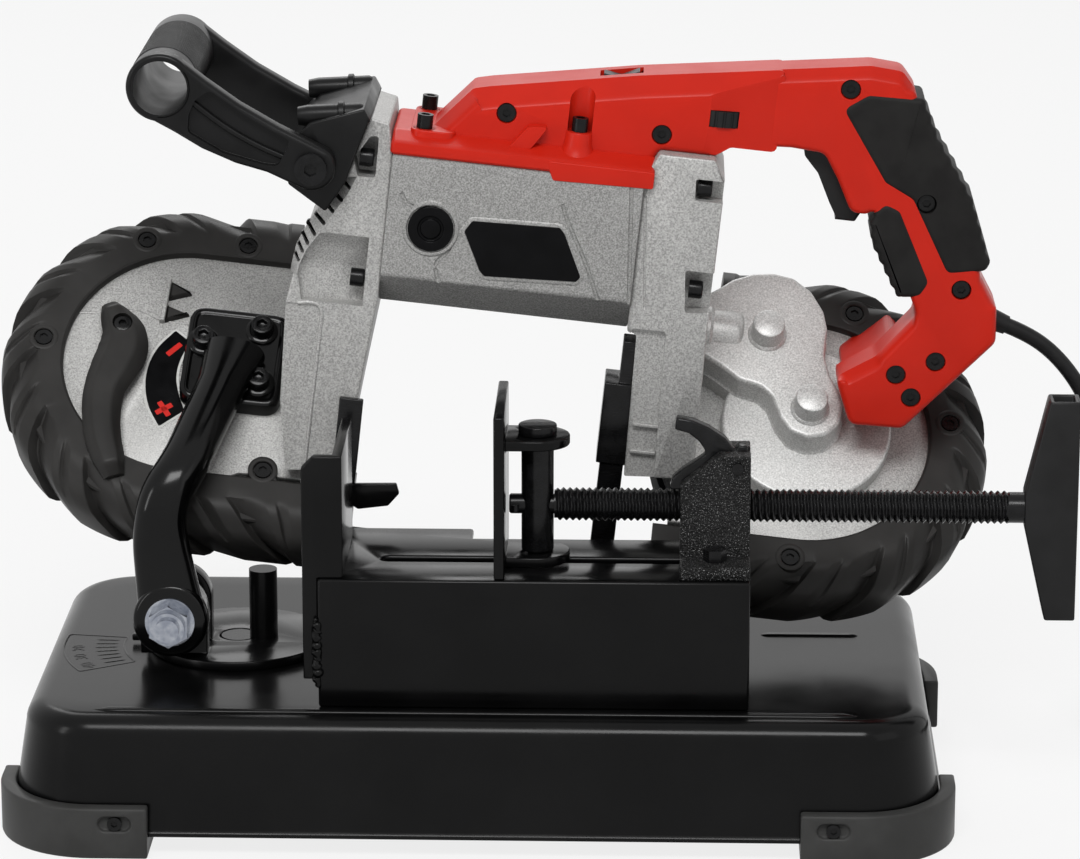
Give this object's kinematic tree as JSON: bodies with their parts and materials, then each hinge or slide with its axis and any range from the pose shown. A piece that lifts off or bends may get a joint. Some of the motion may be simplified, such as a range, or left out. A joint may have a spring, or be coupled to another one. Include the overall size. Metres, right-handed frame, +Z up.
{
  "type": "metal band saw",
  "caption": "Deep-cut portable band saw hinged on a pressed bench stand with a screw vise, swivel base, D-grip, front bail handle and tilted wheels.",
  "frame": {"origin": "on the floor under the middle of the stand and saw, without the mains lead", "axes": "+X to the operator's right along the blade, +Y away from the operator, +Z up"},
  "size_m": [0.7218, 0.3175, 0.3812],
  "materials": {
    "black_enamel": "satin black powder coat",
    "hammered_black": "hammered black enamel",
    "foot_rubber": "matt black rubber",
    "zinc": "bright zinc plating",
    "black_steel": "black oxide",
    "cast_alloy": "speckled cast aluminium",
    "guard_rubber": "dark grey moulded rubber",
    "red_plastic": "satin red moulded plastic",
    "grip_rubber": "soft-touch overmould",
    "dark_plastic": "fine-textured black nylon",
    "bright_steel": "ground steel",
    "wheel_alloy": "machined aluminium",
    "tyre_rubber": "smooth rubber",
    "lead_sheath": "rubber sheath",
    "badge_black": "printed film, left bare",
    "motor_iron": "laminated iron"
  },
  "bodies": {
    "stand": {"base_pan": "black_enamel", "corner_feet": "foot_rubber", "foot_screws": "black_steel", "swivel_bolt": "black_steel", "vise_bed": "black_enamel", "fixed_jaw": "black_enamel", "nut_block": "hammered_black", "nut_block_bolts": "black_steel", "hook_pin": "black_steel"},
    "turntable": {"turntable": "black_enamel", "stop_post": "black_enamel", "pivot_hardware": "zinc", "cord": "lead_sheath", "cord_coil": "lead_sheath", "cord_tie": "dark_plastic", "plug": "lead_sheath"},
    "head": {"swing_arm": "black_enamel", "arm_screws": "black_steel", "front_frame": "cast_alloy", "motor_housing": "cast_alloy", "gear_housing": "cast_alloy", "gear_cover": "cast_alloy", "motor_field": "motor_iron", "cover_front_half": "red_plastic", "cover_back_half": "red_plastic", "cover_screws": "black_steel", "grip_pads": "grip_rubber", "idler_guard": "guard_rubber", "drive_guard": "guard_rubber", "guard_screws": "black_steel", "rear_channel": "guard_rubber", "brush_caps": "dark_plastic", "name_badges": "badge_black", "blade": "bright_steel", "blade_guides": "black_steel", "work_stop": "black_enamel", "handle_bracket": "dark_plastic", "handle_bolts": "black_steel", "strain_relief": "lead_sheath"},
    "jaw": {"moving_jaw": "black_enamel", "jaw_trunnion": "black_enamel"},
    "screw": {"lead_screw": "black_steel", "cotter_pin": "black_steel", "wing_handle": "black_enamel"},
    "hook": {"release_hook": "hammered_black"},
    "carriage": {"idler_carriage": "bright_steel"},
    "idler": {"idler_wheel": "wheel_alloy", "idler_tyre": "tyre_rubber"},
    "drive": {"drive_wheel": "wheel_alloy", "drive_tyre": "tyre_rubber"},
    "intermediate": {"intermediate_gear": "bright_steel"},
    "layshaft": {"layshaft": "bright_steel"},
    "transfer": {"transfer_gear": "bright_steel"},
    "armature": {"armature": "motor_iron"},
    "lever": {"tension_lever": "dark_plastic"},
    "trigger": {"trigger": "dark_plastic"},
    "rocker": {"rocker_switch": "dark_plastic"},
    "dial": {"speed_dial": "dark_plastic"},
    "bail": {"front_handle": "dark_plastic"}
  },
  "joints": [
    {"name": "mitre_swivel", "type": "hinge", "parent": "stand", "child": "turntable", "pos_m": [-0.15, -0.002, 0.068], "axis": [0, 0, 1], "range_deg": [0, 45]},
    {"name": "head_swing", "type": "hinge", "parent": "turntable", "child": "head", "pos_m": [-0.18, -0.0425, 0.095], "axis": [0, -1, 0], "range_deg": [0, 50], "deforming": ["cord"]},
    {"name": "jaw_slide", "type": "slide", "parent": "stand", "child": "jaw", "axis": [1, 0, 0], "range_m": [-0.072, 0.046]},
    {"name": "screw_spin", "type": "hinge", "parent": "jaw", "child": "screw", "pos_m": [0.2455, -0.065, 0.163], "axis": [1, 0, 0], "range_deg": [-8100, 5175]},
    {"name": "hook_lift", "type": "hinge", "parent": "stand", "child": "hook", "pos_m": [0.104, -0.065, 0.1855], "axis": [0, 1, 0], "range_deg": [0, 40]},
    {"name": "lever_turn", "type": "hinge", "parent": "head", "child": "lever", "pos_m": [-0.212, 0.0459, 0.22175], "axis": [-0.0764, 0.7071, -0.703], "range_deg": [0, 180]},
    {"name": "carriage_slide", "type": "slide", "parent": "head", "child": "carriage", "axis": [0.9942, 0, -0.108], "range_m": [0, 0.008]},
    {"name": "drive_spin", "type": "hinge", "parent": "head", "child": "drive", "pos_m": [0.13852, 0.05438, 0.15664], "axis": [0.0764, -0.7071, 0.703], "continuous": true},
    {"name": "idler_spin", "type": "hinge", "parent": "carriage", "child": "idler", "pos_m": [-0.17961, 0.05438, 0.1912], "axis": [0.0764, -0.7071, 0.703], "continuous": true},
    {"name": "intermediate_spin", "type": "hinge", "parent": "head", "child": "intermediate", "pos_m": [0.11839, 0.06867, 0.20279], "axis": [0.0764, -0.7071, 0.703], "continuous": true},
    {"name": "layshaft_spin", "type": "hinge", "parent": "head", "child": "layshaft", "pos_m": [0.06394, 0.05735, 0.22008], "axis": [0.9942, 0, -0.108], "continuous": true},
    {"name": "transfer_spin", "type": "hinge", "parent": "head", "child": "transfer", "pos_m": [0.06775, 0.0368, 0.25519], "axis": [0.9942, 0, -0.108], "continuous": true},
    {"name": "armature_spin", "type": "hinge", "parent": "head", "child": "armature", "pos_m": [0.07012, 0.024, 0.27705], "axis": [0.9942, 0, -0.108], "continuous": true},
    {"name": "trigger_pull", "type": "hinge", "parent": "head", "child": "trigger", "pos_m": [0.15106, 0.024, 0.32761], "axis": [0, -1, 0], "range_deg": [0, 6], "stiffness_Nm_per_rad": 0.6, "springref_deg": -8.59},
    {"name": "rocker_tilt", "type": "hinge", "parent": "head", "child": "rocker", "pos_m": [0.04458, 0.024, 0.35678], "axis": [0, 1, 0], "range_deg": [0, 10]},
    {"name": "dial_turn", "type": "hinge", "parent": "head", "child": "dial", "pos_m": [0.09448, 0.01065, 0.34381], "axis": [0.108, 0, 0.9942], "range_deg": [0, 270]},
    {"name": "bail_tilt", "type": "hinge", "parent": "head", "child": "bail", "pos_m": [-0.10729, 0.024, 0.32449], "axis": [0, 1, 0], "range_deg": [-15, 60]}
  ],
  "couplings": [
    {"joint": "jaw_slide", "follows": "screw_spin", "m_per_rad": 0.0005093},
    {"joint": "lever_turn", "follows": "carriage_slide", "rad_per_m": 392.7},
    {"joint": "idler_spin", "follows": "drive_spin", "ratio": 1},
    {"joint": "intermediate_spin", "follows": "drive_spin", "ratio": -4},
    {"joint": "layshaft_spin", "follows": "drive_spin", "ratio": 12},
    {"joint": "transfer_spin", "follows": "drive_spin", "ratio": -13.44},
    {"joint": "armature_spin", "follows": "drive_spin", "ratio": 42}
  ]
}
